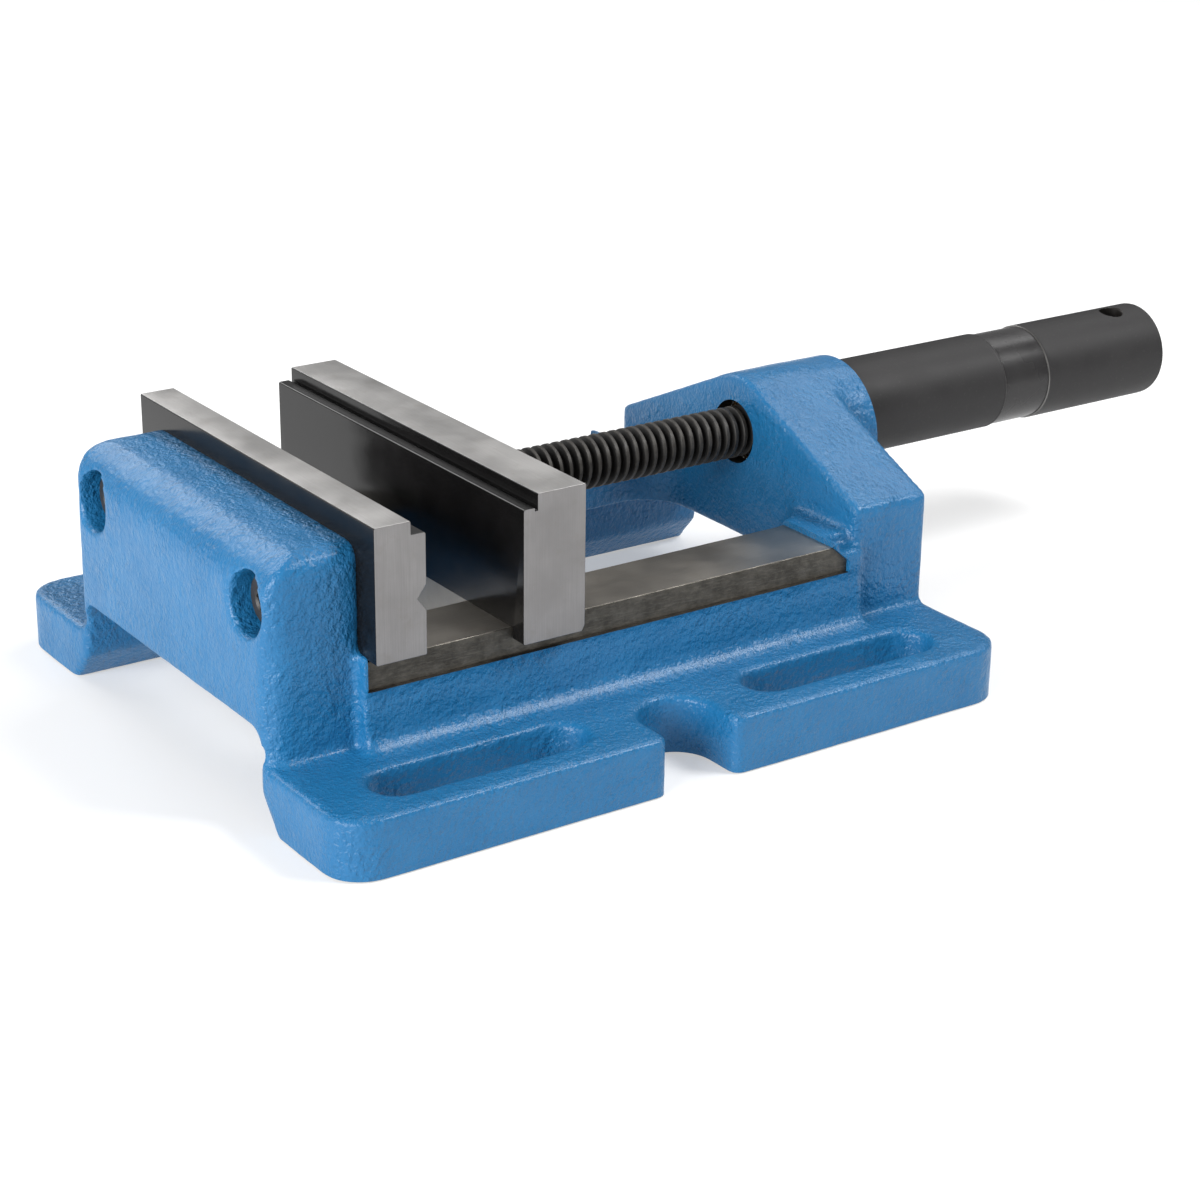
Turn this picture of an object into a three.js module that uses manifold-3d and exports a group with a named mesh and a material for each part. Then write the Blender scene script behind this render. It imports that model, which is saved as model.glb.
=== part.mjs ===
// Drill-press vise with a 120 mm jaw: an iron casting with a fixed jaw, a sliding jaw on two ground rails,
// and a long handle that is a sleeve nut. Turning the handle draws the jaw's screw into the handle.
// The model is drawn with x = 0 at the rear face of the casting and z = 0 under its feet, then centred.
import * as THREE from 'three';
import { mergeVertices } from 'three/addons/utils/BufferGeometryUtils.js';
import Module from 'manifold-3d';

const wasm = await Module();
wasm.setup();

// ---- driving dimensions, in millimetres ----
const jawWidth = 120;
const jawTop = 71.8;
const axisHeight = 52.2;

const baseLength = 196.5;
const baseWidth = 175;
const flangeThickness = 15;
const flangeCorner = 10;
const flangeEdge = 2.5;

const railInner = 34.5;
const wayWidth = 54.7;
const wayHeight = 37.3;
const ledgeHeight = 23.1;
const stripHeight = 7.3;
const webTopSpread = 0.7;
const webFootSpread = 1.8;
const webFillet = 3;
const wayEnd = 163.5;
const castStepRise = 2;

const legInner = 47.7;
const footInner = 54.3;
const footBevel = 8.2;
const archRadius = 4.5;

const blockFront = 24.9;
const blockRear = 1.2;
const blockTop = 65.5;
const blockTopCurve = 11;
const blockCorner = 6;
const bodyHalfWidth = 52;
const bridgeHalfWidth = 53;

const bridgeFront = 172.3;
const shoulderHeight = 45.2;
const ridgeHeight = 68.6;
const bossRadius = 20;
const bossCentre = 47.9;
const bossEnd = 207;

const slotLength = 58;
const slotWidth = 14;
const slotOffset = 72;
const slotCentres = [45, 152];
const notchCentre = 98.5;
const notchWidth = 20;
const notchDepth = 20.5;

const plateThickness = 13.5;
const plateBottom = 38.2;
const jawFront = 65;
const jawThickness = 17.5;
const lipDepth = 3;
const lipGap = 0.5;
const stepDepth = 3.9;
const stepHeight = 3.4;
const stepRelief = 0.8;
const grooveHeight = 52.5;
const grooveDepth = 2.4;
const grooveHalf = 3.2;
const edge = 0.5;

const plateScrewOffset = 41;
const counterboreRadius = 8;
const counterboreDepth = 16;
const plateScrewLength = 20;
const m8Shank = 3.9;
const m8Hole = 4.5;
const m8Tapped = 4.2;
const m8Head = 6.5;
const m8HeadHeight = 8;
const m8Socket = 3.46;
const socketDepth = 4;
const washerThickness = 1.8;

const runningGap = 0.3;
const guideLength = 24.5;
const keeperThickness = 8;
const keeperHalfWidth = 45.5;
const keeperChamfer = 2.2;
const keeperScrewOffset = 18;
const keeperScrewLength = 30;
const keeperRecess = 5;
const dowelOffset = 28;
const dowelRadius = 3;
const dowelBottom = 27;
const dowelTop = 46;

const screwRadius = 7;
const spigotRadius = 6;
const spigotLength = 12;
const screwLength = 151.5;
const lockPinRadius = 2.5;
const lockPinBottom = 38.5;
const lockPinTop = 60;
const clearanceRadius = 8.8;

const handleRadius = 13.7;
const handleStart = 207.6;
const handleEnd = 324;
const handleBoreRadius = 8;
const handleBoreEnd = 306;
const handleChamfer = 1;
const bandStart = 260.3;
const bandEnd = 276.8;
const bandRadius = 13.3;
const tommyHoleRadius = 3.5;
const tommyHoleCentre = 312;
const tommyHoleTurn = 7; // degrees from upright, its upper mouth towards the near side

const cavityStart = 177;
const cavityRadius = 13.8;
const collarRadius = 13.4;
const collarStart = 179;
const collarEnd = 185;
const neckRadius = 11.4;
const neckBore = 9.8;
const nutRadius = 9.6;
const nutEnd = 206;
const nutBore = 7.35;
const nutPinRadius = 2;
const nutPinPlace = 196;
const glandStart = 187.5;
const glandEnd = 206.7;
const glandRadius = 13.5;
const glandBore = 11.75;
const lockScrewPlace = 201.5;
const lockScrewRadius = 2.9;
const lockScrewBottom = 29.5;
const lockScrewSocket = 1.7;

// ---- solids from three.js geometry ----
function solid(geometry) {
  const bare = geometry.index ? geometry.toNonIndexed() : geometry.clone();
  bare.deleteAttribute('normal');
  bare.deleteAttribute('uv');
  const merged = mergeVertices(bare, 1e-3);
  const corners = [];
  for (let i = 0; i < merged.index.count; i += 3) {
    const [a, b, c] = [0, 1, 2].map((k) => merged.index.getX(i + k));
    if (a !== b && b !== c && c !== a) {
      corners.push(a, b, c);
    }
  }
  const mesh = new wasm.Mesh({
    numProp: 3,
    vertProperties: new Float32Array(merged.attributes.position.array),
    triVerts: new Uint32Array(corners),
  });
  return new wasm.Manifold(mesh);
}

function geometryOf(body) {
  const mesh = body.getMesh();
  const geometry = new THREE.BufferGeometry();
  geometry.setAttribute('position', new THREE.BufferAttribute(new Float32Array(mesh.vertProperties), 3));
  geometry.setIndex(new THREE.BufferAttribute(new Uint32Array(mesh.triVerts), 1));
  geometry.computeVertexNormals();
  return geometry;
}

function joined(...parts) {
  return parts.reduce((whole, next) => whole.add(next));
}

function cut(body, ...tools) {
  return tools.reduce((rest, tool) => rest.subtract(tool), body);
}

// A (y, z) outline swept along x.
const alongX = new THREE.Matrix4().set(0, 0, 1, 0, 1, 0, 0, 0, 0, 1, 0, 0, 0, 0, 0, 1);
// An (x, z) outline swept along y.
const alongY = new THREE.Matrix4().set(1, 0, 0, 0, 0, 0, -1, 0, 0, 1, 0, 0, 0, 0, 0, 1);

function sweepX(shape, from, to, segments = 8) {
  const geometry = new THREE.ExtrudeGeometry(shape, {
    depth: to - from,
    bevelEnabled: false,
    curveSegments: segments,
  });
  return solid(geometry.applyMatrix4(alongX).translate(from, 0, 0));
}

function sweepY(shape, from, to, segments = 8) {
  const geometry = new THREE.ExtrudeGeometry(shape, {
    depth: to - from,
    bevelEnabled: false,
    curveSegments: segments,
  });
  return solid(geometry.applyMatrix4(alongY).translate(0, to, 0));
}

function sweepZ(shape, from, to, segments = 8) {
  const geometry = new THREE.ExtrudeGeometry(shape, {
    depth: to - from,
    bevelEnabled: false,
    curveSegments: segments,
  });
  return solid(geometry.translate(0, 0, from));
}

function box(x0, x1, y0, y1, z0, z1) {
  const geometry = new THREE.BoxGeometry(x1 - x0, y1 - y0, z1 - z0);
  return solid(geometry.translate((x0 + x1) / 2, (y0 + y1) / 2, (z0 + z1) / 2));
}

// A closed polygon whose corners are rounded: each point is [u, v] or [u, v, radius].
function rounded(points) {
  const shape = new THREE.Shape();
  const count = points.length;
  points.forEach(([u, v, radius = 0], i) => {
    const before = points[(i + count - 1) % count];
    const after = points[(i + 1) % count];
    const corner = new THREE.Vector2(u, v);
    const towardsBefore = new THREE.Vector2(before[0] - u, before[1] - v).normalize();
    const towardsAfter = new THREE.Vector2(after[0] - u, after[1] - v).normalize();
    const half = Math.acos(THREE.MathUtils.clamp(towardsBefore.dot(towardsAfter), -1, 1)) / 2;
    const reach = radius / Math.tan(half);
    const start = corner.clone().addScaledVector(towardsBefore, reach);
    const end = corner.clone().addScaledVector(towardsAfter, reach);
    if (i === 0) {
      shape.moveTo(start.x, start.y);
    } else {
      shape.lineTo(start.x, start.y);
    }
    if (radius > 0) {
      const bisector = towardsBefore.clone().add(towardsAfter).normalize();
      const centre = corner.clone().addScaledVector(bisector, radius / Math.sin(half));
      const from = Math.atan2(start.y - centre.y, start.x - centre.x);
      const to = Math.atan2(end.y - centre.y, end.x - centre.x);
      const turn = towardsBefore.x * towardsAfter.y - towardsBefore.y * towardsAfter.x;
      shape.absarc(centre.x, centre.y, radius, from, to, turn > 0);
    }
  });
  shape.closePath();
  return shape;
}

// A body of revolution round the x axis. The profile is [x, radius] points, outer side first going up x.
// It starts and ends on the axis, or it is closed into a ring.
function turned(profile, { ring = false, sides = 48 } = {}) {
  const outline = ring ? [...profile, profile[0]] : profile;
  const points = outline.map(([x, r]) => new THREE.Vector2(r, x));
  const geometry = new THREE.LatheGeometry(points, sides);
  return solid(geometry.rotateZ(-Math.PI / 2).translate(0, 0, axisHeight));
}

function rodX(x0, x1, radius, z, y = 0, sides = 32) {
  const geometry = new THREE.CylinderGeometry(radius, radius, x1 - x0, sides);
  return solid(geometry.rotateZ(-Math.PI / 2).translate((x0 + x1) / 2, y, z));
}

function rodZ(z0, z1, radius, x, y, sides = 24) {
  const geometry = new THREE.CylinderGeometry(radius, radius, z1 - z0, sides);
  return solid(geometry.rotateX(Math.PI / 2).translate(x, y, (z0 + z1) / 2));
}

// ---- the casting ----
function flangeOutline() {
  const half = baseWidth / 2;
  const notchRadius = notchWidth / 2;
  const notchFloor = half - notchDepth + notchRadius;
  const shape = new THREE.Shape();
  shape.moveTo(flangeCorner, -half);
  shape.lineTo(notchCentre - notchRadius, -half);
  shape.lineTo(notchCentre - notchRadius, -notchFloor);
  shape.absarc(notchCentre, -notchFloor, notchRadius, Math.PI, 0, true);
  shape.lineTo(notchCentre + notchRadius, -half);
  shape.lineTo(baseLength - flangeCorner, -half);
  shape.absarc(baseLength - flangeCorner, -half + flangeCorner, flangeCorner, -Math.PI / 2, 0);
  shape.lineTo(baseLength, half - flangeCorner);
  shape.absarc(baseLength - flangeCorner, half - flangeCorner, flangeCorner, 0, Math.PI / 2);
  shape.lineTo(notchCentre + notchRadius, half);
  shape.lineTo(notchCentre + notchRadius, notchFloor);
  shape.absarc(notchCentre, notchFloor, notchRadius, 0, Math.PI, true);
  shape.lineTo(notchCentre - notchRadius, half);
  shape.lineTo(flangeCorner, half);
  shape.absarc(flangeCorner, half - flangeCorner, flangeCorner, Math.PI / 2, Math.PI);
  shape.lineTo(0, -half + flangeCorner);
  shape.absarc(flangeCorner, -half + flangeCorner, flangeCorner, Math.PI, Math.PI * 1.5);
  return shape;
}

function slotOutline(x, y) {
  const reach = (slotLength - slotWidth) / 2;
  const radius = slotWidth / 2;
  const path = new THREE.Path();
  path.moveTo(x - reach, y - radius);
  path.lineTo(x + reach, y - radius);
  path.absarc(x + reach, y, radius, -Math.PI / 2, Math.PI / 2);
  path.lineTo(x - reach, y + radius);
  path.absarc(x - reach, y, radius, Math.PI / 2, Math.PI * 1.5);
  return path;
}

// The foot plate with its slots and notches. Its top edges are rounded and its underside is ground flat.
function footPlate() {
  const shape = flangeOutline();
  for (const x of slotCentres) {
    for (const side of [-1, 1]) {
      shape.holes.push(slotOutline(x, side * slotOffset));
    }
  }
  const geometry = new THREE.ExtrudeGeometry(shape, {
    depth: flangeThickness,
    bevelThickness: flangeEdge,
    bevelSize: flangeEdge,
    bevelOffset: -flangeEdge,
    bevelSegments: 3,
    curveSegments: 8,
  });
  const slab = solid(geometry.translate(0, 0, -flangeEdge));
  const ground = box(-1, baseLength + 1, -baseWidth, baseWidth, -2 * flangeEdge, 0);
  return cut(slab, ground);
}

// Both rails and the webs under them, as one bar that the gap and the channel then cut in two.
function railBar() {
  const stripBottom = wayHeight - stripHeight;
  const webTop = wayWidth + webTopSpread;
  const webFoot = wayWidth + webFootSpread;
  const fillet = webFillet;
  const outline = [];
  for (const side of [1, -1]) {
    const half = [
      [side * (webFoot + fillet), flangeThickness - 4],
      [side * (webFoot + fillet), flangeThickness],
      [side * webFoot, flangeThickness + fillet],
      [side * webTop, stripBottom - 0.7],
      [side * wayWidth, stripBottom],
      [side * wayWidth, wayHeight],
    ];
    outline.push(...(side > 0 ? half : half.reverse()));
  }
  return sweepX(rounded(outline), blockFront, bridgeFront + 1);
}

// The fixed jaw block: its rear top edge and rear corners have the largest rounds.
function jawBlock() {
  const foot = flangeThickness - 5;
  const front = sweepX(
    rounded([
      [-bodyHalfWidth, foot],
      [bodyHalfWidth, foot],
      [bodyHalfWidth, blockTop, 5],
      [-bodyHalfWidth, blockTop, 5],
    ]),
    0,
    blockFront,
    4,
  );
  const side = sweepY(
    rounded([
      [blockRear, foot],
      [blockFront, foot],
      [blockFront, blockTop, 4],
      [blockRear, blockTop, blockTopCurve],
    ]),
    -bodyHalfWidth,
    bodyHalfWidth,
    4,
  );
  const plan = sweepZ(
    rounded([
      [blockRear, -bodyHalfWidth, blockCorner],
      [blockFront, -bodyHalfWidth],
      [blockFront, bodyHalfWidth],
      [blockRear, bodyHalfWidth, blockCorner],
    ]),
    foot,
    blockTop,
    4,
  );
  return front.intersect(side).intersect(plan);
}

// The gabled bridge that carries the handle, with the cast step where the ground rails stop.
function bridge() {
  const foot = flangeThickness - 5;
  const gable = sweepX(
    rounded([
      [-bridgeHalfWidth, foot],
      [bridgeHalfWidth, foot],
      [bridgeHalfWidth, shoulderHeight, 3],
      [0, ridgeHeight + 1, 14],
      [-bridgeHalfWidth, shoulderHeight, 3],
    ]),
    bridgeFront,
    baseLength,
    6,
  );
  const side = sweepY(
    rounded([
      [bridgeFront, foot],
      [baseLength, foot],
      [baseLength, ridgeHeight + 1, 3],
      [bridgeFront, ridgeHeight + 1, 3],
    ]),
    -bridgeHalfWidth,
    bridgeHalfWidth,
    4,
  );
  const step = box(wayEnd, bridgeFront + 1, -bodyHalfWidth, bodyHalfWidth, foot, wayHeight + castStepRise);
  const boss = rodX(bridgeFront + 2, bossEnd, bossRadius, bossCentre, 0, 48);
  return joined(gable.intersect(side), step, boss);
}

// The open channel between the feet, with rounded upper corners and bevelled lower edges.
function channelTool() {
  return sweepX(
    rounded([
      [-footInner - 1, -1],
      [footInner + 1, -1],
      [footInner, 0],
      [legInner, footBevel],
      [legInner, ledgeHeight, archRadius],
      [-legInner, ledgeHeight, archRadius],
      [-legInner, footBevel],
      [-footInner, 0],
    ]),
    -1,
    baseLength + 1,
    5,
  );
}

// The gap between the rails, rounded where it meets the block and the bridge.
function gapTool() {
  const outline = rounded([
    [blockFront, -railInner, 4],
    [bridgeFront, -railInner, 12],
    [bridgeFront, railInner, 12],
    [blockFront, railInner, 4],
  ]);
  return sweepZ(outline, ledgeHeight - 4, wayHeight + 6);
}

function casting() {
  const bossBore = turned([
    [wayEnd, 0],
    [wayEnd, clearanceRadius],
    [cavityStart, clearanceRadius],
    [cavityStart, cavityRadius],
    [bossEnd + 1, cavityRadius],
    [bossEnd + 1, 0],
  ]);
  const plateScrewTools = [-1, 1].flatMap((side) => [
    rodX(-1, counterboreDepth, counterboreRadius, axisHeight, side * plateScrewOffset, 32),
    rodX(counterboreDepth - 1, blockFront + 1, m8Hole, axisHeight, side * plateScrewOffset, 20),
  ]);
  const lockScrewTop = axisHeight - cavityRadius + 1;
  const lockScrewTool = rodZ(20, lockScrewTop, lockScrewRadius + runningGap, lockScrewPlace, 0, 20);
  return cut(
    joined(footPlate(), railBar(), jawBlock(), bridge()),
    channelTool(),
    gapTool(),
    bossBore,
    ...plateScrewTools,
    lockScrewTool,
  );
}

// ---- jaws ----
const jawBack = jawFront + jawThickness;
const jawMiddle = (jawFront + jawBack) / 2;
const spigotStart = jawBack - spigotLength;
const spigotMiddle = jawBack - spigotLength / 2 - 0.5;
const stepBottom = jawTop - stepHeight;

function fixedJawPlate() {
  const front = blockFront + plateThickness;
  const outline = rounded([
    [blockFront, plateBottom, edge],
    [front, plateBottom, edge],
    [front, grooveHeight - grooveHalf],
    [front - grooveDepth, grooveHeight],
    [front, grooveHeight + grooveHalf],
    [front, stepBottom, edge],
    [front - stepDepth, stepBottom],
    [front - stepDepth, jawTop, edge],
    [blockFront, jawTop, edge],
  ]);
  const holes = [-1, 1].map((side) =>
    rodX(blockFront - 1, blockFront + 10, m8Tapped, axisHeight, side * plateScrewOffset, 20),
  );
  return cut(sweepY(outline, -jawWidth / 2, jawWidth / 2, 2), ...holes);
}

// One thick plate: its ends hang past the rails as lips, and a spigot hole in its back takes the screw.
function movingJaw() {
  const outline = rounded([
    [jawFront, wayHeight],
    [jawBack, wayHeight],
    [jawBack, jawTop, edge],
    [jawFront + stepDepth, jawTop, edge],
    [jawFront + stepDepth, stepBottom - stepRelief],
    [jawFront + stepDepth - stepRelief, stepBottom - stepRelief],
    [jawFront + stepDepth - stepRelief, stepBottom],
    [jawFront, stepBottom, edge],
  ]);
  const lips = [-1, 1].map((side) => {
    const inner = side * (wayWidth + lipGap);
    const outer = (side * jawWidth) / 2;
    const [y0, y1] = [Math.min(inner, outer), Math.max(inner, outer)];
    return box(jawFront, jawBack, y0, y1, wayHeight - lipDepth, wayHeight + 1);
  });
  const screwHoles = [-1, 1].flatMap((side) => [
    rodZ(wayHeight - 1, wayHeight + 13.5, m8Tapped, jawMiddle, side * keeperScrewOffset, 20),
    rodZ(wayHeight - 1, dowelTop + 0.5, dowelRadius + 0.2, jawMiddle, side * dowelOffset, 20),
  ]);
  return cut(
    joined(sweepY(outline, -jawWidth / 2, jawWidth / 2, 2), ...lips),
    rodX(spigotStart - 0.3, jawBack + 1, spigotRadius + 0.2, axisHeight, 0, 32),
    rodZ(wayHeight - 1, lockPinTop + 0.5, lockPinRadius + 0.2, spigotMiddle, 0, 20),
    ...screwHoles,
  );
}

const keeperTop = ledgeHeight - runningGap;
const keeperBottom = keeperTop - keeperThickness;

function guideBlock() {
  const half = railInner - runningGap;
  const outline = rounded([
    [jawFront + 0.5, -half, 2],
    [jawFront + 0.5 + guideLength, -half, 3],
    [jawFront + 0.5 + guideLength, half, 3],
    [jawFront + 0.5, half, 2],
  ]);
  const holes = [-1, 1].flatMap((side) => [
    rodZ(keeperTop - 1, wayHeight + 1, m8Hole, jawMiddle, side * keeperScrewOffset, 20),
    rodZ(dowelBottom - 0.5, wayHeight + 1, dowelRadius + 0.2, jawMiddle, side * dowelOffset, 20),
  ]);
  return cut(sweepZ(outline, keeperTop, wayHeight, 4), ...holes);
}

function keeperPlate() {
  const outline = rounded([
    [-keeperHalfWidth, keeperBottom],
    [keeperHalfWidth, keeperBottom],
    [keeperHalfWidth, keeperTop - keeperChamfer],
    [keeperHalfWidth - keeperChamfer, keeperTop],
    [-keeperHalfWidth + keeperChamfer, keeperTop],
    [-keeperHalfWidth, keeperTop - keeperChamfer],
  ]);
  const holes = [-1, 1].flatMap((side) => {
    const y = side * keeperScrewOffset;
    return [
      rodZ(keeperBottom - 1, keeperTop + 1, m8Hole, jawMiddle, y, 20),
      rodZ(keeperBottom - 1, keeperBottom + keeperRecess, m8Head + 0.5, jawMiddle, y, 28),
    ];
  });
  return cut(sweepX(outline, jawFront + 0.5, jawFront + 0.5 + guideLength), ...holes);
}

// ---- fasteners ----
function hexPrism(length, radius) {
  return new THREE.CylinderGeometry(radius, radius, length, 6);
}

// A socket cap screw along x with its head at the lower x end.
function plateScrew(side) {
  const headEnd = counterboreDepth - washerThickness;
  const headStart = headEnd - m8HeadHeight;
  const y = side * plateScrewOffset;
  const socket = hexPrism(socketDepth + 1, m8Socket)
    .rotateZ(-Math.PI / 2)
    .translate(headStart + (socketDepth - 1) / 2, y, axisHeight);
  return cut(
    joined(
      rodX(headStart, headEnd, m8Head, axisHeight, y, 28),
      rodX(headEnd - 1, headEnd + plateScrewLength, m8Shank, axisHeight, y, 20),
    ),
    solid(socket),
  );
}

function plateWasher(side) {
  const y = side * plateScrewOffset;
  const start = counterboreDepth - washerThickness;
  return cut(
    rodX(start, counterboreDepth, m8Head + 0.3, axisHeight, y, 28),
    rodX(start - 1, counterboreDepth + 1, m8Tapped, axisHeight, y, 20),
  );
}

// A socket cap screw that comes up from below the keeper plate into the moving jaw.
function keeperScrew(side) {
  const headTop = keeperBottom + keeperRecess;
  const headBottom = headTop - m8HeadHeight;
  const y = side * keeperScrewOffset;
  const socket = hexPrism(socketDepth + 1, m8Socket)
    .rotateX(Math.PI / 2)
    .translate(jawMiddle, y, headBottom + (socketDepth - 1) / 2);
  return cut(
    joined(
      rodZ(headBottom, headTop, m8Head, jawMiddle, y, 28),
      rodZ(headTop - 1, headTop + keeperScrewLength, m8Shank, jawMiddle, y, 20),
    ),
    solid(socket),
  );
}

function guideDowel(side) {
  return rodZ(dowelBottom, dowelTop, dowelRadius, jawMiddle, side * dowelOffset, 20);
}

// ---- screw and handle ----
function leadScrew() {
  const end = jawBack + screwLength;
  const bar = turned([
    [spigotStart, 0],
    [spigotStart, spigotRadius],
    [jawBack + runningGap, spigotRadius],
    [jawBack + runningGap, screwRadius],
    [end - 1.5, screwRadius],
    [end, screwRadius - 1.5],
    [end, 0],
  ]);
  return cut(bar, rodZ(40, 64, lockPinRadius + 0.2, spigotMiddle, 0, 20));
}

function screwLockPin() {
  return rodZ(lockPinBottom, lockPinTop, lockPinRadius, spigotMiddle, 0, 20);
}

// The sleeve that the hand turns: plain band between two gripping zones, and a cross hole for a bar.
function handleSleeve() {
  const step = handleRadius - bandRadius;
  const sleeve = turned([
    [handleBoreEnd, 0],
    [handleBoreEnd, handleBoreRadius],
    [nutEnd + runningGap, handleBoreRadius],
    [nutEnd + runningGap, neckBore],
    [collarEnd, neckBore],
    [collarEnd, neckRadius],
    [handleStart, neckRadius],
    [handleStart, handleRadius - 0.5],
    [handleStart + 0.5, handleRadius],
    [bandStart - step, handleRadius],
    [bandStart, bandRadius],
    [bandEnd, bandRadius],
    [bandEnd + step, handleRadius],
    [handleEnd - handleChamfer, handleRadius],
    [handleEnd, handleRadius - handleChamfer],
    [handleEnd, 0],
  ]);
  const crossHole = rodZ(-20, 20, tommyHoleRadius, tommyHoleCentre, 0, 24)
    .rotate([tommyHoleTurn, 0, 0])
    .translate([0, 0, axisHeight]);
  const pinHole = rodZ(axisHeight, axisHeight + 20, nutPinRadius + 0.2, nutPinPlace, 0, 16);
  return cut(sleeve, crossHole, pinHole);
}

// The bronze nut: its collar takes the clamping force inside the boss, its spigot fits the handle's neck.
function driveNut() {
  const nut = turned(
    [
      [collarStart, collarRadius],
      [collarEnd, collarRadius],
      [collarEnd, nutRadius],
      [nutEnd, nutRadius],
      [nutEnd, nutBore],
      [collarStart, nutBore],
    ],
    { ring: true },
  );
  return cut(nut, rodZ(axisHeight, axisHeight + 20, nutPinRadius + 0.2, nutPinPlace, 0, 16));
}

function driveNutPin() {
  return rodZ(axisHeight + nutBore + 0.5, axisHeight + neckRadius - 0.2, nutPinRadius, nutPinPlace, 0, 16);
}

function washerRing(start, end, bore) {
  const profile = [
    [start, collarRadius],
    [end, collarRadius],
    [end, bore],
    [start, bore],
  ];
  return turned(profile, { ring: true });
}

// The ring that screws into the boss behind the collar and keeps the handle in.
function glandRing() {
  const profile = [
    [glandStart, glandRadius],
    [glandEnd, glandRadius],
    [glandEnd, glandBore],
    [glandStart, glandBore],
  ];
  return turned(profile, { ring: true });
}

function ringLockScrew() {
  const top = axisHeight - glandRadius - 0.3;
  const socket = hexPrism(4, lockScrewSocket)
    .rotateX(Math.PI / 2)
    .translate(lockScrewPlace, 0, lockScrewBottom);
  return cut(rodZ(lockScrewBottom, top, lockScrewRadius, lockScrewPlace, 0, 20), solid(socket));
}

// ---- materials and assembly ----
function material(color, roughness, metalness) {
  return new THREE.MeshStandardMaterial({ color, roughness, metalness });
}

const paint = () => material(0x2f7fb8, 0.35, 0);
const groundSteel = () => material(0x9a9690, 0.35, 1);
const blackSteel = () => material(0x2e2c2b, 0.55, 0.4);
const bronze = () => material(0xb08a4a, 0.4, 1);
const brightSteel = () => material(0xb4b2ae, 0.3, 1);

const vise = new THREE.Group();
vise.position.x = -handleEnd / 2;

function place(name, body, finish) {
  const mesh = new THREE.Mesh(geometryOf(body), finish);
  mesh.name = name;
  vise.add(mesh);
}

place('vise_body', casting(), paint());
place('fixed_jaw_plate', fixedJawPlate(), groundSteel());
place('moving_jaw', movingJaw(), groundSteel());
place('guide_block', guideBlock(), groundSteel());
place('keeper_plate', keeperPlate(), blackSteel());
place('lead_screw', leadScrew(), blackSteel());
place('screw_lock_pin', screwLockPin(), brightSteel());
place('handle_sleeve', handleSleeve(), blackSteel());
place('drive_nut', driveNut(), bronze());
place('drive_nut_pin', driveNutPin(), brightSteel());
place('front_thrust_washer', washerRing(cavityStart, collarStart - 0.2, clearanceRadius), brightSteel());
place('rear_thrust_washer', washerRing(collarEnd + 0.2, glandStart - 0.3, glandBore), brightSteel());
place('gland_ring', glandRing(), brightSteel());
place('ring_lock_screw', ringLockScrew(), blackSteel());
for (const [side, label] of [[-1, 'near'], [1, 'far']]) {
  place(`fixed_jaw_screw_${label}`, plateScrew(side), blackSteel());
  place(`fixed_jaw_washer_${label}`, plateWasher(side), brightSteel());
  place(`keeper_screw_${label}`, keeperScrew(side), blackSteel());
  place(`guide_dowel_${label}`, guideDowel(side), brightSteel());
}

export default vise;
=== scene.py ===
"""Visual model of a drill press vise: a blue enamelled casting, ground jaws, a black screw and handle.

Solids are drawn in millimetres from the casting's rear end and set into the frame when they are finished.
"""

import math

import bmesh
import bpy
import numpy as np
from mathutils import Matrix, Vector, noise


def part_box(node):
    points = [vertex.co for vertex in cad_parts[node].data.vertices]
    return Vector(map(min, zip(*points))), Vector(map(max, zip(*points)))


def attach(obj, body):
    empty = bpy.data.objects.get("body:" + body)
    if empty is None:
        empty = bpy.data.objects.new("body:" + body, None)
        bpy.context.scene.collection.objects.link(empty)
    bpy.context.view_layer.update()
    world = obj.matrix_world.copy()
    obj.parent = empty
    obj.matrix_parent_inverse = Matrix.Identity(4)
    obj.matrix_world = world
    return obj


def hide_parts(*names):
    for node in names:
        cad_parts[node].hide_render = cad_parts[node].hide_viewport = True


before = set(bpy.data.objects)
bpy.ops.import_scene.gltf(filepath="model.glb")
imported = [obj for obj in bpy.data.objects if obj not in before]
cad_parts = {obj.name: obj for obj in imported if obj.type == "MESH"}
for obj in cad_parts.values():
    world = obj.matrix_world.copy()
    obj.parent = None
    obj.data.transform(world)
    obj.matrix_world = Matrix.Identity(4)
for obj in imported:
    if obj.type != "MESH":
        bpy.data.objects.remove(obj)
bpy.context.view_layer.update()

# ---- places taken from the frame, in millimetres from the casting's rear end ----
MM = 0.001
ORIGIN_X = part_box("vise_body")[0].x


def span(node):
    """A CAD node's box in millimetres, as its lowest and highest corners."""
    shift = Vector((ORIGIN_X, 0, 0))
    return [(corner - shift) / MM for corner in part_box(node)]


def middle_x(node):
    low, high = span(node)
    return (low.x + high.x) / 2


BODY_HIGH = span("vise_body")[1]
PLATE_LOW, PLATE_HIGH = span("fixed_jaw_plate")
JAW_LOW, JAW_HIGH = span("moving_jaw")
GUIDE_LOW, GUIDE_HIGH = span("guide_block")
KEEPER_LOW, KEEPER_HIGH = span("keeper_plate")
SCREW_LOW, SCREW_HIGH = span("lead_screw")
HANDLE_LOW, HANDLE_HIGH = span("handle_sleeve")
AXIS_Z = (HANDLE_LOW.z + HANDLE_HIGH.z) / 2
HANDLE_RADIUS = (HANDLE_HIGH.z - HANDLE_LOW.z) / 2
SCREW_RADIUS = (SCREW_HIGH.z - SCREW_LOW.z) / 2
JAW_MIDDLE = middle_x("moving_jaw")
LOCK_PIN_X = middle_x("screw_lock_pin")
NUT_PIN_X = middle_x("drive_nut_pin")

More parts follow.
